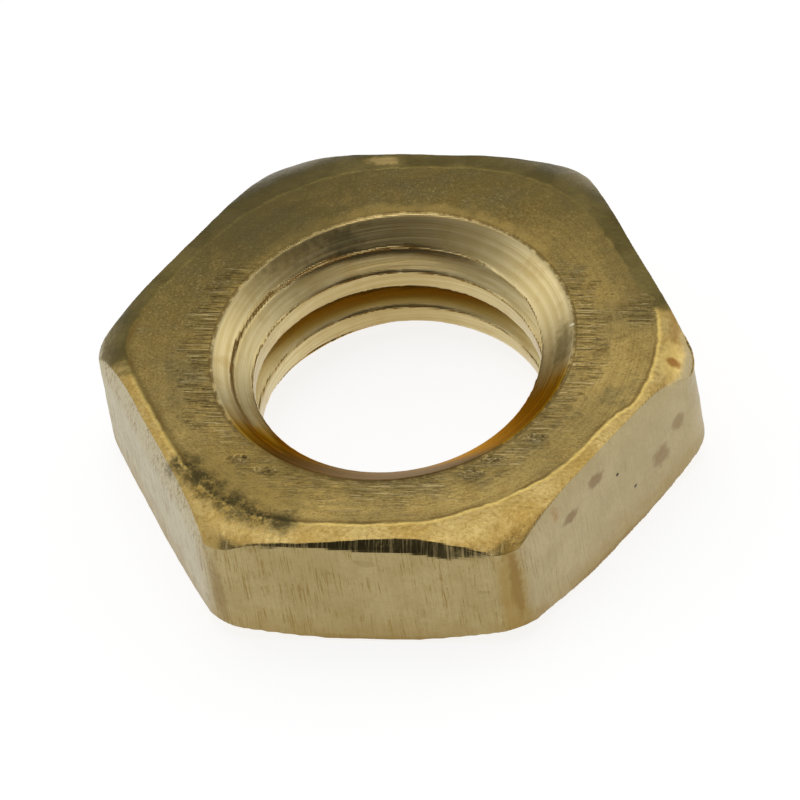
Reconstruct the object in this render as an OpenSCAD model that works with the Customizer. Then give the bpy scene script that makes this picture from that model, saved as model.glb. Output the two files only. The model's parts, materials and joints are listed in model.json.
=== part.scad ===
// Thin hexagon nut, metric 8 x 1.25: one piece of drawn brass bar, chamfered on both faces,
// drilled, countersunk and tapped right through with a right-hand thread.
// Z runs up the thread. The nut stands on its bottom face, whose centre is the origin,
// and two of its corners lie along X. Millimetres.

/* [Body] */
// Width across the flats
across_flats = 13; // [12.8:0.05:13.2]
// Thickness, face to face
thickness = 3.5; // [3.3:0.1:5]
// Radius of the rounded corners between two flats
corner_radius = 1.1; // [0.5:0.1:2]

/* [Chamfers] */
// Diameter of the flat face that the outer chamfer leaves
face_d = 12.4; // [11.6:0.1:12.6]
// Slope of the outer chamfer below the face, in degrees
chamfer_slope = 22; // [15:1:32]

/* [Thread] */
// Major diameter, across the roots of the tapped thread
major_d = 8; // [7.9:0.05:8.1]
// Minor diameter, across the crests that the tapping drill leaves
minor_d = 7; // [6.7:0.05:7.1]
// Rise of the thread in one turn
pitch = 1.25; // [1:0.25:1.25]
// Turn of the thread about Z, in degrees
thread_phase = 20; // [0:5:355]

/* [Countersinks] */
// Mouth diameter of the countersink in the top face
top_mouth_d = 8.8; // [8.3:0.1:9.2]
// Mouth diameter of the countersink in the bottom face
bottom_mouth_d = 8.4; // [8.2:0.1:8.8]
// Included angle of both countersinks, in degrees
countersink_angle = 105; // [90:5:120]

/* [Hidden] */

brass = [0.72, 0.60, 0.34];
round_fn = 96;
// How far a cutter runs past the face that it cuts
overrun = 1;

// Corner arcs of the bar, each tangent to its two flats
corner_centre_r = (across_flats / 2 - corner_radius) / cos(30);
corner_tip_r = corner_centre_r + corner_radius;
corner_steps = 12;

// Outer chamfer: how far it has dropped where it meets a corner
blank_r = corner_tip_r + overrun;
chamfer_drop = (blank_r - face_d / 2) * tan(chamfer_slope);

// Thread groove: 60 degree flanks that end in a flat an eighth of the pitch wide
flank_slope = 30;
root_half = pitch / 16;
root_r = major_d / 2;
// The groove cutter reaches this far inside the crests
crest_clear = 0.12;
mouth_r = minor_d / 2 - crest_clear;
mouth_half = root_half + (root_r - mouth_r) * tan(flank_slope);
steps_per_turn = 48;
groove_bottom = -pitch;
groove_turns = ceil((thickness + 2 * pitch) / pitch);
groove_steps = groove_turns * steps_per_turn;

// Outline of the drawn bar: a short arc at each corner, joined by the flats
module bar_outline() {
    polygon([
        for (corner = [0 : 60 : 300], step = [0 : corner_steps])
            let (angle = corner + 60 * (step / corner_steps - 1 / 2))
            corner_centre_r * [cos(corner), sin(corner)] + corner_radius * [cos(angle), sin(angle)]
    ]);
}

// Turned blank that trims the bar's corners to a chamfer at both faces
module chamfer_blank() {
    rotate_extrude($fn = round_fn)
        polygon([
            [0, 0],
            [face_d / 2, 0],
            [blank_r, chamfer_drop],
            [blank_r, thickness - chamfer_drop],
            [face_d / 2, thickness],
            [0, thickness]
        ]);
}

// Cone of one countersink, pointing down from its mouth at z = 0 and open above it
module countersink(mouth_d) {
    slope = tan(countersink_angle / 2);
    rotate_extrude($fn = round_fn)
        polygon([
            [0, -mouth_d / 2 / slope],
            [mouth_d / 2 + overrun * slope, overrun],
            [0, overrun]
        ]);
}

// One corner of the groove cutter's section, at a step along the helix
function groove_point(step, radius, rise) =
    let (angle = thread_phase + 360 * step / steps_per_turn)
    [
        radius * cos(angle),
        radius * sin(angle),
        groove_bottom + pitch * step / steps_per_turn + rise
    ];

// The four corners of the section: mouth below, root below, root above, mouth above
function groove_section(step) = [
    groove_point(step, mouth_r, -mouth_half),
    groove_point(step, root_r, -root_half),
    groove_point(step, root_r, root_half),
    groove_point(step, mouth_r, mouth_half)
];

// Right-hand thread groove, swept up the helix from below the bottom face to above the top one
module thread_groove() {
    section_corners = 4;
    points = [for (step = [0 : groove_steps], point = groove_section(step)) point];
    walls = [
        for (step = [0 : groove_steps - 1], side = [0 : section_corners - 1])
            let (
                here = step * section_corners,
                next_side = (side + 1) % section_corners,
                above = here + section_corners
            )
            each [
                [here + side, above + next_side, above + side],
                [here + side, here + next_side, above + next_side]
            ]
    ];
    last = groove_steps * section_corners;
    ends = [[0, 2, 1], [0, 3, 2], [last, last + 1, last + 2], [last, last + 2, last + 3]];
    polyhedron(points = points, faces = concat(walls, ends), convexity = groove_turns + 2);
}

// The nut, machined as the real one is: bar, chamfers, tapping drill, countersinks, tap
module hex_nut() {
    color(brass) difference() {
        intersection() {
            linear_extrude(thickness) bar_outline();
            chamfer_blank();
        }
        translate([0, 0, -overrun]) cylinder(d = minor_d, h = thickness + 2 * overrun, $fn = round_fn);
        translate([0, 0, thickness]) countersink(top_mouth_d);
        mirror([0, 0, 1]) countersink(bottom_mouth_d);
        thread_groove();
    }
}

hex_nut();
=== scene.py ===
import json
from math import atan2, cos, degrees, pi, radians, sin, tan

import bpy
from mathutils import Matrix, Vector, noise


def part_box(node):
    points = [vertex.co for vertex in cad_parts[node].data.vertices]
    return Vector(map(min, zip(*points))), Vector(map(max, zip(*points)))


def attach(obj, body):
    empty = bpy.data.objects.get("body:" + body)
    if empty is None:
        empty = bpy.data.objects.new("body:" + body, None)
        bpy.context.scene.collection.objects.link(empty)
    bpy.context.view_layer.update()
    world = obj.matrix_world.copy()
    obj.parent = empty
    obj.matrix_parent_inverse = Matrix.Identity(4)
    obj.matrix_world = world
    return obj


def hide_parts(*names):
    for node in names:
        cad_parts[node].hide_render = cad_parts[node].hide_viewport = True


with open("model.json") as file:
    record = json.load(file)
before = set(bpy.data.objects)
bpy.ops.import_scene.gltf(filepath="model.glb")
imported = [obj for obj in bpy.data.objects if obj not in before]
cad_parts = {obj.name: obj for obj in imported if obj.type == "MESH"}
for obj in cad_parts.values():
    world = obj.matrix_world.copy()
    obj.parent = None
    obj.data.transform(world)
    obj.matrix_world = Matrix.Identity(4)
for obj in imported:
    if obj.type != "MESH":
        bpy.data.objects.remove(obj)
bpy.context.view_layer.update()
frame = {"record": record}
mm = 0.001
bpy.ops.object.select_all(action="DESELECT")


# ------------------------------------------------------------------ the bar
# The nut is a slice of drawn hexagon brass bar. The flats and the rounded corners between
# them are the bar's own skin, and the rim of its underside is rubbed to a shallow slope.
nut_low, nut_high = (Vector(corner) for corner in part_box("hex_nut"))
thickness = nut_high.z - nut_low.z
middle_z = (nut_high.z + nut_low.z) / 2
flat_r = (nut_high.y - nut_low.y) / 2
corner_r = 1.1 * mm
rubbed_width = 0.45 * mm
rubbed_drop = 0.09 * mm
bpy.ops.mesh.primitive_cylinder_add(
    vertices=6,
    radius=flat_r / cos(pi / 6),
    depth=thickness - rubbed_drop,
    location=(0, 0, middle_z + rubbed_drop / 2),
    rotation=(0, 0, pi / 6),
)
nut = bpy.context.object
nut.name = "hex_nut_worn"
bpy.ops.object.transform_apply(location=True, rotation=True, scale=True)


def select(piece, kind, wanted):
    """Enters edit mode with only the faces or edges selected that a test accepts."""
    bpy.context.view_layer.objects.active = piece
    bpy.ops.object.mode_set(mode="EDIT")
    bpy.ops.mesh.select_mode(type=kind)
    bpy.ops.mesh.select_all(action="DESELECT")
    bpy.ops.object.mode_set(mode="OBJECT")
    for item in piece.data.edges if kind == "EDGE" else piece.data.polygons:
        item.select = wanted(item)
    bpy.ops.object.mode_set(mode="EDIT")


def upright(edge):
    """True for an edge that runs the whole thickness."""
    low, high = (nut.data.vertices[index].co.z for index in edge.vertices)
    return abs(high - low) > thickness / 2


def crown_underside(piece, width, rise):
    """Insets a piece's lower face by a width and pushes it down, so that its rim slopes."""
    select(piece, "FACE", lambda face: face.normal.z < -0.99)
    bpy.ops.mesh.inset(thickness=width)
    bpy.ops.transform.translate(value=(0, 0, -rise))
    bpy.ops.object.mode_set(mode="OBJECT")


select(nut, "EDGE", upright)
bpy.ops.mesh.bevel(offset=corner_r * tan(pi / 6), segments=10, affect="EDGES")
bpy.ops.object.mode_set(mode="OBJECT")
crown_underside(nut, rubbed_width, rubbed_drop)


# ------------------------------------------------------------------ the chamfers
# The underside is chamfered on the lathe, to a shallow cone that trims the corners round.
# The upper rim has lost its chamfer to wear, and its shape comes with the wear below.
def turned(radius, low_z, high_z):
    """A round tool shape about the thread's axis."""
    bpy.ops.mesh.primitive_cylinder_add(
        vertices=256, radius=radius, depth=high_z - low_z, location=(0, 0, (low_z + high_z) / 2)
    )
    bpy.ops.object.transform_apply(location=True, rotation=True, scale=True)
    return bpy.context.object


def machine(tool, operation):
    """Cuts the nut with a tool shape, which is used up."""
    cut = nut.modifiers.new("cut", "BOOLEAN")
    cut.operation = operation
    cut.object = tool
    bpy.context.view_layer.objects.active = nut
    bpy.ops.object.modifier_apply(modifier=cut.name)
    bpy.data.objects.remove(tool)


chamfer_r = 6.35 * mm
chamfer_run = 1.5 * mm
chamfer_slope = radians(24)
chamfer_rise = chamfer_run * tan(chamfer_slope)
lathe = turned(chamfer_r + chamfer_run, nut_low.z + chamfer_rise, nut_high.z)
crown_underside(lathe, chamfer_run, chamfer_rise)
machine(lathe, "INTERSECT")


# ------------------------------------------------------------------ the hole
# Drilled through at the size of the thread's crests, then countersunk from both faces with
# one wide cutter.
thread_mount = next(mount for mount in frame["record"]["mounts"] if mount["name"] == "thread")
crest_r = thread_mount["dims"]["r_mm"] * mm
wall_middle = thread_mount["pos_m"][2]
wall_half = thread_mount["dims"]["length_mm"] * mm / 2
countersink_run = 1.1 * mm
countersink_angle = radians(105)
countersink_r = crest_r + countersink_run * tan(countersink_angle / 2)
drill = turned(crest_r, wall_middle - wall_half, wall_middle + wall_half)
for side in (1, -1):
    select(drill, "FACE", lambda face: face.normal.z * side > 0.99)
    bpy.ops.mesh.extrude_region_move(TRANSFORM_OT_translate={"value": (0, 0, side * countersink_run)})
    bpy.ops.transform.resize(value=(countersink_r / crest_r, countersink_r / crest_r, 1))
    bpy.ops.object.mode_set(mode="OBJECT")
machine(drill, "DIFFERENCE")


# ------------------------------------------------------------------ the thread
# A tap cuts a right-hand metric groove up the hole: 60 degree flanks that end in a narrow
# flat at the major diameter. The tap runs right through and out of both countersinks.
pitch = 1.25 * mm
root_r = 4.0 * mm
flank_slope = pi / 6
thread_phase = radians(20)
groove_turns = 5
steps_per_turn = 120
mouth_r = crest_r - 0.3 * mm
root_half = pitch / 16
mouth_half = root_half + (root_r - mouth_r) * tan(flank_slope)
bpy.ops.mesh.primitive_plane_add(
    size=2, location=((root_r + mouth_r) / 2, 0, -pitch), rotation=(pi / 2, 0, 0)
)
tap = bpy.context.object
bpy.ops.transform.resize(value=((root_r - mouth_r) / 2, 1, mouth_half))
bpy.ops.object.transform_apply(location=True, rotation=True, scale=True)
select(tap, "EDGE", lambda edge: all(tap.data.vertices[index].co.x > crest_r for index in edge.vertices))
bpy.ops.transform.resize(value=(1, 1, root_half / mouth_half))
bpy.ops.mesh.select_all(action="SELECT")
bpy.ops.mesh.delete(type="ONLY_FACE")
bpy.ops.object.mode_set(mode="OBJECT")
helix = tap.modifiers.new("helix", "SCREW")
helix.axis = "Z"
helix.angle = 2 * pi
helix.screw_offset = pitch
helix.iterations = groove_turns
helix.steps = helix.render_steps = steps_per_turn
bpy.ops.object.modifier_apply(modifier=helix.name)
bpy.ops.object.mode_set(mode="EDIT")
bpy.ops.mesh.select_all(action="SELECT")
bpy.ops.mesh.fill_holes(sides=4)
bpy.ops.mesh.normals_make_consistent(inside=False)
bpy.ops.object.mode_set(mode="OBJECT")
tap.data.transform(Matrix.Rotation(thread_phase, 4, "Z"))
machine(tap, "DIFFERENCE")


# ------------------------------------------------------------------ the wear
# The nut is worn from handling and use. A fine even skin of points lets its rim and its
# flats be rubbed and dented, while the hole and its thread are only smoothed a little.
voxel = 0.057 * mm
most_triangles = 190000
skin = nut.modifiers.new("skin", "REMESH")
skin.mode = "VOXEL"
skin.voxel_size = voxel
bpy.ops.object.modifier_apply(modifier=skin.name)


def ramp(value, low, high):
    """Rises smoothly from 0 at low to 1 at high, or falls where low is the larger."""
    share = min(max((value - low) / (high - low), 0), 1)
    return share * share * (3 - 2 * share)


def between(rows, where):
    """Reads a value off rows of (place, value), in proportion between two rows."""
    for (low, low_value), (high, high_value) in zip(rows, rows[1:]):
        if where <= high:
            return low_value + (high_value - low_value) * (where - low) / (high - low)
    return rows[-1][1]


# Where the upper rim starts to be rubbed down: the bearing in degrees, and millimetres from the axis
rim_starts = (
    (-180, 6.60), (-170, 6.35), (-161, 6.08), (-149, 5.98), (-139, 6.02), (-130, 6.14), (-119, 6.16),
    (-109, 6.05), (-96, 5.84), (-85, 5.80), (-73, 5.86), (-58, 5.90), (-48, 5.96), (-41, 6.00),
    (-28, 5.97), (-21, 6.10), (-11, 6.42), (0, 6.45), (12, 6.40), (30, 6.05), (60, 6.25), (90, 6.00),
    (110, 6.05), (125, 6.05), (150, 6.05), (165, 6.30), (180, 6.60),
)

# The struck strip along the front flat, in millimetres: how high its lower line runs at each
# place from left to right, and how far its top is pushed in
strip_line = (
    (-6.5, 3.5), (-3.3, 3.40), (-2.7, 3.15), (-2.1, 3.26), (-1.5, 3.36), (-1.0, 3.34), (-0.5, 3.27),
    (0.1, 3.25), (0.7, 3.24), (1.5, 3.21), (2.2, 3.00), (3.0, 3.10), (3.5, 3.18), (3.9, 3.32),
    (4.3, 3.5), (6.5, 3.5),
)
strip_depth = (
    (-6.5, 0), (-3.3, 0), (-2.7, 0.08), (-1.5, 0.15), (-0.5, 0.19), (0.5, 0.30), (1.0, 0.34),
    (1.5, 0.34), (2.2, 0.21), (3.0, 0.17), (3.6, 0.14), (4.2, 0), (6.5, 0),
)

# How the rim drops past its start, more steeply further out, and how much more the corners drop
# by bearing
rim_slope = 0.05
rim_steepening = 0.09
corner_start = 6.45
corner_drop = (
    (-180, 0.50), (-150, 0.3), (-120, 0.18), (-60, 0.14), (-30, 0.3), (0, 0.64), (60, 0.42),
    (120, 0.40), (180, 0.48),
)

# How far each flat's upper edge leans in, by the flat's bearing
flats_leaning = ((-150, 0.24), (-30, 0.13), (30, 0.02), (90, 0.04), (150, 0.03))
lean_start = nut_high.z - 0.8 * mm
ragged_size = 0.7 * mm
ragged_depth = 0.10
strip_raggedness = 0.4


def wear_down(co):
    """Lowers the worn rim, leans the flats' upper edges in, and flattens the struck strip."""
    ragged = noise.noise(co / ragged_size) * ragged_depth
    bearing = degrees(atan2(co.y, co.x))
    from_axis = co.xy.length / mm
    past = max(from_axis - between(rim_starts, bearing) - ragged, 0)
    past_corner = max(from_axis - corner_start, 0)
    drop = rim_slope * past + rim_steepening * past * past
    drop += between(corner_drop, bearing) * past_corner * past_corner
    co.z = min(co.z, nut_high.z - drop * mm)
    for flat_bearing, depth in flats_leaning:
        outwards = Vector((cos(radians(flat_bearing)), sin(radians(flat_bearing)), 0))
        share = max(co.z - lean_start, 0) / (nut_high.z - lean_start)
        proud = co.dot(outwards) - flat_r + depth * share * share * mm
        if proud > 0:
            co -= outwards * proud
    line = (between(strip_line, co.x / mm) + strip_raggedness * ragged) * mm
    if co.z > line:
        share = (co.z - line) / (nut_high.z - line)
        co.y = max(co.y, share * between(strip_depth, co.x / mm) * mm - flat_r)


for point in nut.data.vertices:
    if point.co.z > middle_z:
        wear_down(point.co)

for group_name, near, far in (("outside", 5.2 * mm, 5.7 * mm), ("inside", 5.2 * mm, 4.9 * mm)):
    group = nut.vertex_groups.new(name=group_name)
    for point in nut.data.vertices:
        group.add([point.index], ramp(point.co.xy.length, near, far), "REPLACE")


def finish_step(kind, group, **settings):
    """Adds one modifier that works on a vertex group, and applies it."""
    step = nut.modifiers.new(kind.lower(), kind)
    step.vertex_group = group
    for key, value in settings.items():
        setattr(step, key, value)
    bpy.ops.object.modifier_apply(modifier=step.name)


def dent(size, depth, strength, mid_level):
    """Pushes the outside in and out by procedural lumps of a given size."""
    texture = bpy.data.textures.new("lumps", "CLOUDS")
    texture.noise_scale = size
    texture.noise_depth = depth
    finish_step(
        "DISPLACE", "outside", texture=texture, texture_coords="LOCAL", strength=strength, mid_level=mid_level
    )


for group_name in ("outside", "inside"):
    finish_step("SMOOTH", group_name, factor=0.5, iterations=4)
dent(1.7 * mm, 1, 0.05 * mm, 0.66)
dent(0.4 * mm, 2, 0.02 * mm, 0.6)
triangles = 2 * len(nut.data.polygons)
thinned = nut.modifiers.new("thinned", "DECIMATE")
thinned.ratio = min(1, most_triangles / triangles)
bpy.ops.object.modifier_apply(modifier=thinned.name)
bpy.ops.object.mode_set(mode="EDIT")
bpy.ops.mesh.select_all(action="SELECT")
bpy.ops.mesh.normals_make_consistent(inside=False)
bpy.ops.object.mode_set(mode="OBJECT")
bpy.ops.object.shade_smooth()


# ------------------------------------------------------------------ the brass and its zones
# Each zone of the nut is where one job in the workshop or one kind of wear left its mark: inside
# the hole, the turned face, the bar's flats, the rubbed rim, and the struck strip. All of them
# are painted on the nut's own coordinates, in millimetres.
brass = bpy.data.materials.new("worn_brass")
brass.use_nodes = True
tree = brass.node_tree
tree.nodes.clear()


def add(kind, **settings):
    """Adds a shader node with its settings."""
    node = tree.nodes.new("ShaderNode" + kind)
    for key, value in settings.items():
        setattr(node, key, value)
    return node


def feed(socket, value):
    """Sets a socket to a number, or links another node's output to it."""
    if isinstance(value, bpy.types.NodeSocket):
        tree.links.new(value, socket)
    else:
        socket.default_value = value


def calc(operation, *values, clamp=False):
    """Result of a math node."""
    node = add("Math", operation=operation, use_clamp=clamp)
    for socket, value in zip(node.inputs, values):
        feed(socket, value)
    return node.outputs[0]


def plus(first, second):
    """Sum of two values."""
    return calc("ADD", first, second)


def minus(first, second):
    """The first value less the second."""
    return calc("SUBTRACT", first, second)


def times(*values):
    """Product of any number of values."""
    result = values[0]
    for value in values[1:]:
        result = calc("MULTIPLY", result, value)
    return result


def rise(value, low, high):
    """0 below low, 1 above high, smooth between; low may be the larger."""
    node = add("MapRange", interpolation_type="SMOOTHSTEP")
    feed(node.inputs["Value"], value)
    feed(node.inputs["From Min"], min(low, high))
    feed(node.inputs["From Max"], max(low, high))
    result = node.outputs["Result"]
    return result if low < high else minus(1.0, result)


def band(value, low, full_low, full_high, high):
    """1 between the two full limits, fading to 0 at the outer ones."""
    return times(rise(value, low, full_low), rise(value, high, full_high))


def place(x_value, y_value, z_value):
    """A vector from three values."""
    node = add("CombineXYZ")
    for socket, value in zip(node.inputs, (x_value, y_value, z_value)):
        feed(socket, value)
    return node.outputs[0]


def grain(where, scale=1.0, detail=2.0, roughness=0.5):
    """Noise between 0 and 1, about 0.5."""
    node = add("TexNoise")
    feed(node.inputs["Vector"], where)
    feed(node.inputs["Scale"], scale)
    feed(node.inputs["Detail"], detail)
    feed(node.inputs["Roughness"], roughness)
    return node.outputs[0]


def stretch(x_scale, y_scale, z_scale, turn=0):
    """The nut's own coordinates in millimetres, turned about its axis and scaled along each axis."""
    node = add("Mapping")
    feed(node.inputs["Vector"], add("TexCoord").outputs["Object"])
    node.inputs["Rotation"].default_value = (0, 0, radians(turn))
    node.inputs["Scale"].default_value = (x_scale / mm, y_scale / mm, z_scale / mm)
    return node.outputs[0]


def colours(amount, first, second):
    """Mixes two colours."""
    node = add("Mix", data_type="RGBA")
    feed(node.inputs[0], amount)
    for socket, value in ((node.inputs[6], first), (node.inputs[7], second)):
        feed(socket, value if isinstance(value, bpy.types.NodeSocket) else (*value, 1))
    return node.outputs[2]


def layered(base, layers):
    """Lays colours over a base one after another, each where its mask says and at its strength."""
    for mask, strength, tint in layers:
        base = colours(times(mask, strength), base, tint)
    return base


at = stretch(1, 1, 1)
axes = add("SeparateXYZ")
feed(axes.inputs[0], at)
x, y, z = axes.outputs
radius = calc("SQRT", plus(times(x, x), times(y, y)))
facing = add("SeparateXYZ")
feed(facing.inputs[0], add("NewGeometry").outputs["Normal"])
lean = calc("ABSOLUTE", facing.outputs[2])
ragged = minus(grain(at, 2.5, 3), 0.5)
ragged_fine = minus(grain(at, 5, 3, 0.6), 0.5)


def frayed(value, amount):
    """A value with an uneven edge."""
    return plus(value, times(ragged, amount))


def across(x_share, y_share):
    """How far a point lies along a direction in the face."""
    return plus(times(x, x_share), times(y, y_share))


def blot(centre, reach, core=0.25):
    """1 round a point given in millimetres, fading raggedly to 0 at a reach along each axis."""
    offset = add("VectorMath", operation="SUBTRACT")
    feed(offset.inputs[0], at)
    feed(offset.inputs[1], centre)
    share = add("VectorMath", operation="DIVIDE")
    feed(share.inputs[0], offset.outputs[0])
    feed(share.inputs[1], reach)
    length = add("VectorMath", operation="LENGTH")
    feed(length.inputs[0], share.outputs[0])
    return rise(plus(length.outputs["Value"], times(ragged_fine, 0.9)), 1.0, core)


def rim_radius_by_bearing():
    """Where the rubbed rim starts, in millimetres from the axis, as the wear above has it."""
    least, span = 5.0, 2.0
    curve = add("FloatCurve")
    points = curve.mapping.curves[0].points
    last = len(rim_starts) - 1
    for index, (degree, rim_radius) in enumerate(rim_starts):
        spot = (degree / 360 + 0.5, (rim_radius - least) / span)
        if index in (0, last):
            points[0 if index == 0 else len(points) - 1].location = spot
        else:
            points.new(*spot)
    curve.mapping.update()
    feed(curve.inputs["Value"], plus(calc("DIVIDE", calc("ARCTAN2", y, x), 2 * pi), 0.5))
    return plus(times(curve.outputs[0], span), least)


hole = rise(frayed(radius, 0.10), 4.48, 4.42)
outer = minus(1.0, hole)
upper = rise(z, 1.6, 1.9)
past_rim = frayed(minus(radius, rim_radius_by_bearing()), 0.15)
rim = calc("MAXIMUM", times(rise(past_rim, -0.05, 0.05), upper), rise(lean, 0.985, 0.965))
face = times(outer, minus(1.0, rim))
flat = times(outer, rise(frayed(lean, 0.10), 0.80, 0.66))
edge = calc("SUBTRACT", 1.0, plus(face, plus(flat, hole)), clamp=True)
strip = times(
    outer, upper, band(lean, 0.28, 0.42, 0.88, 0.95), rise(y, -6.0, -6.12), band(x, -3.5, -3.2, 3.45, 3.75)
)
rim_front = times(outer, upper, rise(y, 1.5, 0.0))
# Painted shade in the crease where the face meets the rim at the front, stronger on the left; the fold line
# is a thinner line of it
fold = times(rim_front, band(past_rim, -0.22, -0.04, 0.02, 0.12), plus(times(rise(x, 0.0, -3.0), 0.9), 0.1))
fold_line = times(rim_front, band(past_rim, -0.11, -0.05, -0.02, 0.03))
# Gold at the front and dull at the back: the rubbed brass, with painted shade on the back of the rim
rubbed_and_lit_front = rise(frayed(across(-0.18, 1), 1.2), 0.6, 0.0)
# The near wall's amber is partly tarnish and partly a painted reflection of brass in brass
near_wall = times(hole, rise(frayed(across(0.23, -0.97), 0.8), 0.9, 2.0))
# Painted shade: the back wall browner, where it reflects the darker room
far_wall = times(hole, rise(frayed(across(0.27, -0.96), 0.8), -2.4, -3.6))
near_foot = rise(y, -2.9, -3.7)

# Grain of every size, from clouds of tarnish to dust, and the lines that the tools left
cloud = grain(at, 0.35, 3)
haze = grain(at, 0.9, 4, 0.6)
mottle = grain(at, 1.6, 4, 0.6)
speck = grain(at, 9, 4, 0.7)
dust = grain(at, 17, 3, 0.75)
rings = grain(place(times(radius, 14.0), times(x, 0.15), times(y, 0.15)), 1, 4, 0.7)
drawn = grain(stretch(26, 26, 0.7), 1, 3, 0.7)
drawn_fine = grain(stretch(60, 60, 3.5), 1, 3, 0.7)
scratches = grain(stretch(20, 20, 0.75), 1, 4, 0.75)
hole_lines = grain(place(times(radius, 10.0), times(z, 10.0), times(plus(x, y), 0.12)), 1, 3, 0.6)

# Short marks that the countersink cutter left round the mouth, and a patch of them by the rim
cutter_dashes = grain(stretch(1.3, 28, 1), 1, 1, 0.5)
round_mouth = times(rise(radius, 4.45, 4.55), rise(frayed(radius, 2.0), 5.4, 4.7), rise(y, 3.2, 1.8), outer)
dash_zone = calc("MAXIMUM", round_mouth, times(blot((5.9, 1.3, 3.5), (0.6, 0.7, 1.0)), outer))
fewer_in_front = minus(1.0, times(rise(y, -1.8, -3.6), 0.5))
dark_dashes = times(rise(cutter_dashes, 0.55, 0.61), dash_zone, fewer_in_front)
pale_dashes = times(rise(cutter_dashes, 0.42, 0.36), dash_zone)

# Long scratches in three directions, on the right and the front
scores = grain(stretch(0.5, 17, 1, 25), 1, 2, 0.6)
for x_scale, y_scale, turn in ((0.6, 15, 140), (0.5, 19, 95)):
    scores = calc("MAXIMUM", scores, grain(stretch(x_scale, y_scale, 1, turn), 1, 2, 0.6))
scores = times(rise(scores, 0.69, 0.74), outer, rise(y, 0.5, -2.0), rise(across(1, -1), 1.0, 3.5))


# ------------------------------------------------------------------ the colours
# Drawn and turned brass, dulled with age: olive tarnish on the turned face, pale hazy flats with the drawing
# lines of the bar, and bright gold where the rim rubs. Some light and shade is painted into these colours
# too, where marked below.
haze_mix = rise(haze, 0.35, 0.65)

# The turned face, darker at the back and round the outside: partly tarnish, partly painted shade at the back
# and painted light at the front
back_rim_tarnish_and_shade = times(rise(frayed(radius, 1.5), 5.0, 6.5), rise(across(0.1, 1), 0.5, 3.5))
lip = times(rise(frayed(radius, 0.9), 4.90, 4.50), rise(across(-0.3, 1), -1.5, 1.5))
handled = times(rise(frayed(radius, 0.8), 4.95, 4.55), rise(y, 0.0, -2.5))
dark_olive = (0.10, 0.070, 0.022)
pale_scratch = (0.66, 0.520, 0.250)
# The face's base colour runs from dark at the back to light at the front: painted light and shade, with
# tarnish
olive = layered(colours(rise(across(0.35, -0.93), -4.8, 2.8), (0.205, 0.145, 0.038), (0.52, 0.365, 0.115)), (
    (rise(cloud, 0.40, 0.65), 0.45, (0.17, 0.135, 0.052)),
    (rise(rings, 0.60, 0.38), 0.22, dark_olive),
    (rise(haze, 0.52, 0.66), 0.40, (0.15, 0.128, 0.058)),
    (rise(haze, 0.46, 0.32), 0.35, (0.44, 0.290, 0.080)),
    (rise(mottle, 0.50, 0.68), 0.30, (0.24, 0.140, 0.030)),
    (rise(dust, 0.52, 0.66), 0.48, dark_olive),
    (rise(dust, 0.46, 0.32), 0.35, (0.58, 0.450, 0.190)),
    # darker round the outside at the back: tarnish and painted shade
    (back_rim_tarnish_and_shade, 0.60, (0.135, 0.105, 0.036)),
    (lip, 0.45, (0.48, 0.330, 0.095)),
    (handled, 0.30, (0.17, 0.120, 0.040)),
    (dark_dashes, 0.60, (0.09, 0.060, 0.016)),
    (pale_dashes, 0.60, pale_scratch),
    (scores, 0.50, pale_scratch),
))

# The bar's flats: paler on the left, partly as a painted reflection of the white table, browner on the front
# flat and towards the foot
# Paler on the left: partly the brass's tone, partly a painted reflection of the table seen at a glance
pale_left_tone_and_reflection = rise(frayed(x, 0.5), -3.5, -4.3)
streaks = times(rise(scratches, 0.52, 0.60), rise(mottle, 0.40, 0.54), rise(x, 6.5, 3.0))
front_flat = rise(y, -6.10, -6.35)
right_flat = times(rise(y, -6.2, -5.9), rise(x, 3.4, 3.9))
foot = rise(frayed(z, 1.5), 1.3, 0.1)
foot_edge = times(rise(frayed(z, 0.25), 0.32, 0.14), rise(x, -4.5, -3.0))
hazy = layered(colours(haze_mix, (0.40, 0.315, 0.155), (0.47, 0.380, 0.200)), (
    (pale_left_tone_and_reflection, 0.80, (0.54, 0.490, 0.340)),
    (rise(drawn, 0.42, 0.70), 0.32, (0.28, 0.205, 0.085)),
    (rise(drawn_fine, 0.50, 0.80), 0.18, (0.22, 0.155, 0.060)),
    (streaks, 0.74, (0.22, 0.125, 0.026)),
    (rise(dust, 0.52, 0.68), 0.28, (0.20, 0.140, 0.055)),
    (scores, 0.35, (0.19, 0.130, 0.050)),
    (front_flat, 0.25, (0.38, 0.285, 0.080)),
    (right_flat, 0.30, (0.52, 0.440, 0.270)),
    (foot, 0.50, (0.34, 0.230, 0.070)),
    (foot_edge, 0.55, (0.26, 0.155, 0.035)),
))

# The rim: gold where it rubs, dull at the back, partly as painted shade, and dark along its fold on the left
# as painted shade in the crease; a painted highlight runs along its brink, and painted shade darkens it
# towards its outer edge
# Painted highlight: a thin bright line along the rim's inner edge
brink_highlight = band(past_rim, -0.06, 0.0, 0.04, 0.14)
# Painted shade: the rounded rim darker towards its outer edge, at the front
shade = times(rise(frayed(past_rim, 0.9), 0.50, 1.05), rise(y, -2.5, -4.0))
gold = layered(colours(haze_mix, (0.50, 0.335, 0.095), (0.60, 0.440, 0.160)), (
    (rise(speck, 0.48, 0.66), 0.55, (0.36, 0.225, 0.050)),
    (rise(speck, 0.46, 0.32), 0.35, (0.78, 0.620, 0.280)),
    (brink_highlight, 0.75, (0.90, 0.660, 0.200)),
    (shade, 0.45, (0.36, 0.220, 0.055)),
))
dull_and_shaded_back = colours(haze_mix, (0.130, 0.100, 0.030), (0.20, 0.155, 0.050))

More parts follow.
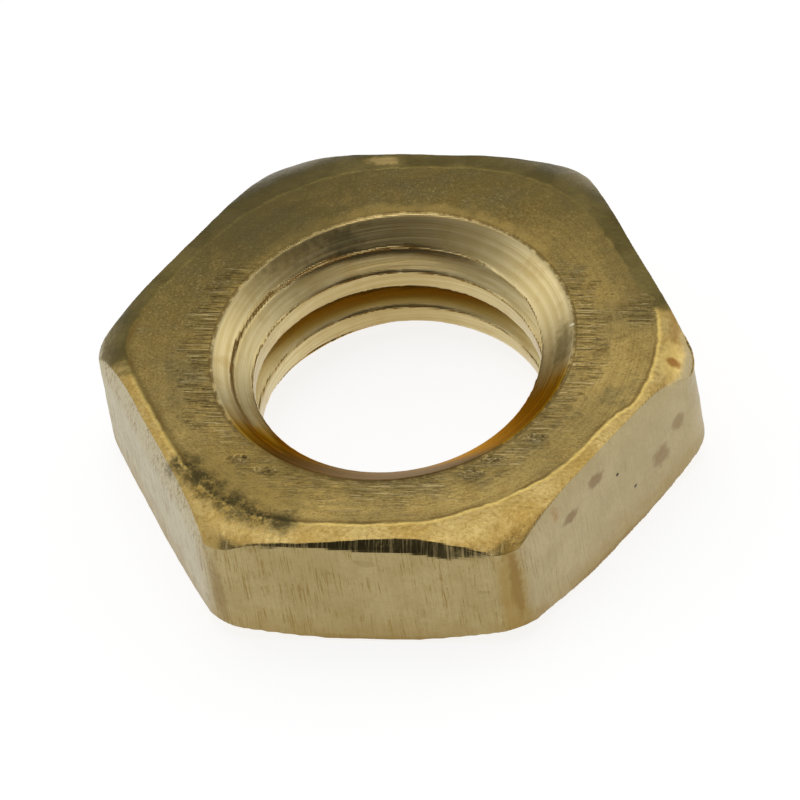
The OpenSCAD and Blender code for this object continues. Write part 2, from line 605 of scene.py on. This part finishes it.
# The struck strip, barred by the blow that made it
bars = rise(grain(stretch(13, 1, 0.6), 1, 4, 0.75), 0.46, 0.66)
scorched = colours(bars, (0.085, 0.066, 0.026), (0.42, 0.320, 0.140))

# The hole: bright at its sides, browner at the back as painted shade, amber on the near wall, partly as a
# painted reflection of brass in brass, and orange-brown in the deep groove as painted shade
# Painted shade: the deep groove at the back darker and orange-brown, like light bounced between brass flanks
groove = times(hole, rise(radius, 3.50, 3.72), rise(z, 2.3, 1.6), rise(across(-0.27, 0.96), 0.8, 3.2))
foot_lines = times(rise(y, -3.0, -3.7), rise(hole_lines, 0.54, 0.44))
lines_mix = rise(hole_lines, 0.35, 0.65)
amber = layered(colours(lines_mix, (0.35, 0.190, 0.018), (0.66, 0.390, 0.050)), (
    (near_foot, 0.80, (0.30, 0.220, 0.110)),
    (foot_lines, 0.75, (0.12, 0.080, 0.025)),
))
bright = layered(colours(lines_mix, (0.54, 0.420, 0.185), (0.68, 0.560, 0.290)), (
    (rise(mottle, 0.50, 0.72), 0.35, (0.42, 0.260, 0.065)),
    (far_wall, 0.50, (0.34, 0.230, 0.075)),
    (groove, 0.85, (0.42, 0.255, 0.030)),
    (near_wall, 1.00, amber),
))

# All zones together, with the thin lines where two of them meet
border = times(outer, upper, rubbed_and_lit_front, band(lean, 0.62, 0.74, 0.86, 0.93), rise(radius, 7.05, 6.90))
mouth_line = times(band(radius, 4.38, 4.42, 4.48, 4.54), rise(ragged_fine, -0.14, 0.04), rise(z, 2.9, 3.1))
colour = layered(colours(rubbed_and_lit_front, dull_and_shaded_back, gold), (
    (face, 1.00, olive),
    # the fold and its line: painted shade in the crease
    (fold, 0.45, (0.11, 0.080, 0.022)),
    (times(fold_line, rise(haze, 0.40, 0.55)), 0.55, (0.19, 0.105, 0.022)),
    (border, 0.55, (0.33, 0.185, 0.045)),
    (flat, 1.00, hazy),
    (strip, 1.00, scorched),
    (hole, 1.00, bright),
    (mouth_line, 0.65, (0.12, 0.075, 0.020)),
))


# ------------------------------------------------------------------ the stains
# Each row is a blot at its place: runs, spots, nicks and soot that are this nut's own, and a few blots of
# painted shade and one painted highlight. A row holds the centre and the reach along each axis in
# millimetres, the strength and the colour.
stain_core = 0.45
purple_brown = (0.19, 0.105, 0.040)
faint_brown = (0.20, 0.110, 0.040)
black = (0.020, 0.015, 0.010)
stains = (
    # the brown run down the front right corner, and where it spreads at the foot
    ((3.60, -6.30, 1.5), (0.42, 0.60, 2.6), 0.55, (0.34, 0.210, 0.045)),
    ((3.72, -6.32, 2.0), (0.16, 0.50, 1.7), 0.50, (0.22, 0.120, 0.025)),
    ((3.90, -6.00, 0.4), (0.80, 0.60, 0.5), 0.50, (0.30, 0.190, 0.050)),
    # the scuff at the back of the countersink
    ((-1.90, 3.75, 3.2), (0.80, 0.55, 0.35), 0.40, (0.13, 0.100, 0.050)),
    # the front left corner, and the broad darker patches of the face at its back left and front; the one at
    # the back left is partly painted shade
    ((-3.60, -6.25, 1.6), (0.24, 0.50, 1.6), 0.55, (0.24, 0.150, 0.045)),
    ((-4.00, 4.60, 3.5), (3.20, 2.60, 1.0), 0.60, (0.110, 0.086, 0.030)),
    ((-2.60, -4.20, 3.5), (2.60, 2.00, 1.0), 0.40, (0.30, 0.200, 0.045)),
    # the bright right corner, and the dull stretch of the countersink on that side, which is painted shade
    ((6.80, -0.15, 3.25), (0.45, 0.85, 0.40), 0.60, (0.86, 0.640, 0.210)),
    ((4.20, 0.40, 3.0), (0.45, 1.20, 0.7), 0.70, (0.20, 0.140, 0.040)),
    # red spots on the rim
    ((6.88, -0.19, 3.2), (0.26, 0.20, 0.5), 0.85, (0.32, 0.130, 0.022)),
    ((4.78, -5.04, 3.1), (0.35, 0.25, 0.5), 0.50, (0.32, 0.150, 0.030)),
    ((3.72, -5.80, 3.1), (0.34, 0.26, 0.3), 0.65, (0.27, 0.130, 0.025)),
    # brown blots and two black dots on the right flat
    ((5.45, -3.70, 2.8), (0.34, 0.42, 0.24), 0.62, purple_brown),
    ((4.90, -4.60, 2.5), (0.30, 0.38, 0.24), 0.62, purple_brown),
    ((6.60, -1.60, 1.5), (0.36, 0.45, 0.40), 0.55, faint_brown),
    ((6.98, -0.95, 2.0), (0.26, 0.34, 0.30), 0.50, faint_brown),
    ((5.79, -2.98, 2.3), (0.07, 0.07, 0.07), 0.90, black),
    ((6.06, -2.51, 1.4), (0.07, 0.07, 0.07), 0.90, black),
    # a painted highlight at the mouth, and a gold nick on the back edge
    ((4.30, 0.83, 3.4), (0.10, 0.06, 0.2), 0.95, (0.98, 0.900, 0.620)),
    ((-1.10, 6.20, 3.4), (0.55, 0.20, 0.3), 0.60, (0.60, 0.430, 0.160)),
)
colour = layered(colour, (
    (blot(centre, reach, stain_core), strength, tint) for centre, reach, strength, tint in stains
))

# Soot along the fold of the front left rim
soot_reach = (0.66, 0.52, 0.5)
soot = 0.0
for centre_x, centre_y in (
    (-4.55, -4.00), (-4.15, -4.45), (-3.75, -4.80), (-3.30, -5.15), (-2.85, -5.45), (-2.40, -5.65),
    (-1.95, -5.80),
):
    soot = calc("MAXIMUM", soot, blot((centre_x, centre_y, 3.4), soot_reach))
soot = times(soot, outer, rise(plus(speck, times(mottle, 0.6)), 1.04, 0.76))

# Torn patches beside the hole, where the cutter dug in
torn_reach = (0.45, 0.22, 0.4)
torn = 0.0
for centre_x, centre_y in ((-3.25, -3.80), (-2.55, -4.15), (2.50, -4.10), (2.95, -3.65), (3.90, -2.90)):
    torn = calc("ADD", torn, blot((centre_x, centre_y, 3.5), torn_reach), clamp=True)
torn = times(torn, outer)
colour = layered(colour, (
    (soot, 0.90, (0.050, 0.040, 0.014)),
    (times(torn, rise(speck, 0.50, 0.62)), 0.80, (0.07, 0.048, 0.014)),
    (times(torn, rise(speck, 0.46, 0.36)), 0.80, (0.78, 0.640, 0.330)),
))


# ------------------------------------------------------------------ the finish
# The drawn flats are the most matt and the cut hole is the glossiest. The relief is what a
# fingernail would feel: turning rings, cutter marks, scratches and grain.
matt = 0.0
for zone, roughness in ((face, 0.38), (flat, 0.45), (hole, 0.28), (edge, 0.40)):
    matt = plus(matt, times(zone, roughness))
matt = plus(matt, times(minus(speck, 0.5), outer, 0.25))

# Heights in millimetres
height = 0.0
for height_part in (
    times(face, plus(times(rings, 0.005), times(dust, 0.012))),
    times(pale_dashes, 0.018),
    times(dark_dashes, -0.022),
    times(scores, face, -0.012),
    times(flat, plus(times(drawn, 0.003), times(drawn_fine, 0.0015))),
    times(edge, plus(times(speck, 0.020), times(mottle, 0.03))),
    times(hole, hole_lines, 0.005),
    times(torn, speck, -0.06),
):
    height = plus(height, height_part)
relief = add("Bump")
feed(relief.inputs["Strength"], 1.0)
feed(relief.inputs["Distance"], mm)
feed(relief.inputs["Height"], height)

# The near wall keeps its amber, partly a painted reflection of brass in brass, where it is seen almost edge
# on
amber_at_glance = colours(near_foot, (1, 0.66, 0.26), (0.72, 0.58, 0.42))
metal = add("BsdfPrincipled")
metal.inputs["Metallic"].default_value = 1.0
feed(metal.inputs["Specular Tint"], colours(near_wall, (1, 1, 1), amber_at_glance))
feed(metal.inputs["Base Color"], colour)
feed(metal.inputs["Roughness"], matt)
feed(metal.inputs["Normal"], relief.outputs[0])
feed(add("OutputMaterial").inputs["Surface"], metal.outputs[0])
nut.data.materials.clear()
nut.data.materials.append(brass)
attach(nut, "root")
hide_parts("hex_nut")


# ------------------------------------------------------------------ the table
# The nut lies on a plain white table, many times its own width. The table glows a little,
# so that it stays pale under the soft light.
bpy.ops.mesh.primitive_circle_add(vertices=96, radius=1.2, fill_type="NGON", location=(0, 0, nut_low.z))
table = bpy.context.object
table.name = "table"
white = bpy.data.materials.new("white_table")
white.use_nodes = True
surface = white.node_tree.nodes["Principled BSDF"]
surface.inputs["Base Color"].default_value = (0.25, 0.25, 0.25, 1)
surface.inputs["Roughness"].default_value = 0.9
surface.inputs["Emission Color"].default_value = (1, 1, 1, 1)
surface.inputs["Emission Strength"].default_value = 0.84
table.data.materials.append(white)


# ------------------------------------------------------------------ the camera
# A long lens looks down on the nut from the front and slightly right, so there is hardly any
# perspective. The camera is held a little turned, which tips the nut in the frame.
def direction(azimuth, elevation):
    """Unit vector towards a viewpoint, with azimuth 0 at the front and growing to the right."""
    return Vector((sin(azimuth) * cos(elevation), -cos(azimuth) * cos(elevation), sin(elevation)))


view_azimuth, view_elevation, view_roll = radians(15.46), radians(46.43), radians(10.23)
back = direction(view_azimuth, view_elevation)
right = Vector((cos(view_azimuth), sin(view_azimuth), 0))
up = back.cross(right)
frame_right = cos(view_roll) * right - sin(view_roll) * up
frame_up = sin(view_roll) * right + cos(view_roll) * up
view_distance = 357 * mm
camera_data = bpy.data.cameras.new("camera")
camera_data.sensor_width = 36
camera_data.lens = 659
camera_data.clip_start, camera_data.clip_end = 0.01, 10
camera = bpy.data.objects.new("camera", camera_data)
bpy.context.scene.collection.objects.link(camera)
turn = Matrix((frame_right, frame_up, back)).transposed()
aim = -0.250 * mm * frame_right + 1.063 * mm * frame_up
camera.matrix_world = Matrix.Translation(aim + back * view_distance) @ turn.to_4x4()
bpy.context.scene.camera = camera


# ------------------------------------------------------------------ the light
# A white room and one soft lamp overhead. The room is bright above, low down at the windows to
# the sides and high up on the far side, and dark behind the viewer.
room = bpy.data.worlds.new("room")
room.use_nodes = True
bpy.context.scene.world = room
tree = room.node_tree
tree.nodes.clear()
ways = add("SeparateXYZ")
feed(ways.inputs[0], add("TexCoord").outputs["Generated"])
way_x, way_y, way_z = ways.outputs
aside = calc("ABSOLUTE", plus(times(way_x, cos(view_azimuth)), times(way_y, sin(view_azimuth))))
toward_viewer = plus(times(way_x, sin(view_azimuth)), times(way_y, -cos(view_azimuth)))
overhead = rise(way_z, 0.90, 0.985)
windows = times(rise(aside, 0.55, 0.85), rise(way_z, 0.65, 0.35))
viewer_side = times(rise(toward_viewer, 0.25, 0.55), minus(1.0, overhead))
far_side = times(rise(toward_viewer, 0.10, -0.40), rise(way_z, 0.30, 0.60))
level = 0.42
for part, brightness in ((overhead, 0.45), (windows, 0.85), (far_side, 0.40)):
    level = plus(level, times(part, brightness))
level = times(level, minus(1.0, times(viewer_side, 0.82)))
level = calc("MAXIMUM", level, add("LightPath").outputs["Is Camera Ray"])
sky = add("Background")
feed(sky.inputs["Color"], (1, 1, 1, 1))
feed(sky.inputs["Strength"], level)
feed(add("OutputWorld").inputs["Surface"], sky.outputs[0])

lamp_distance = 0.5
key_light = bpy.data.lights.new("key", "AREA")
key_light.size = 0.25
key_light.energy = 0.25
key = bpy.data.objects.new("key", key_light)
bpy.context.scene.collection.objects.link(key)
toward_key = direction(radians(15), radians(97))
key.location = toward_key * lamp_distance
key.rotation_mode = "QUATERNION"
key.rotation_quaternion = toward_key.to_track_quat("Z", "Y")
bpy.context.scene.view_settings.view_transform = "Standard"
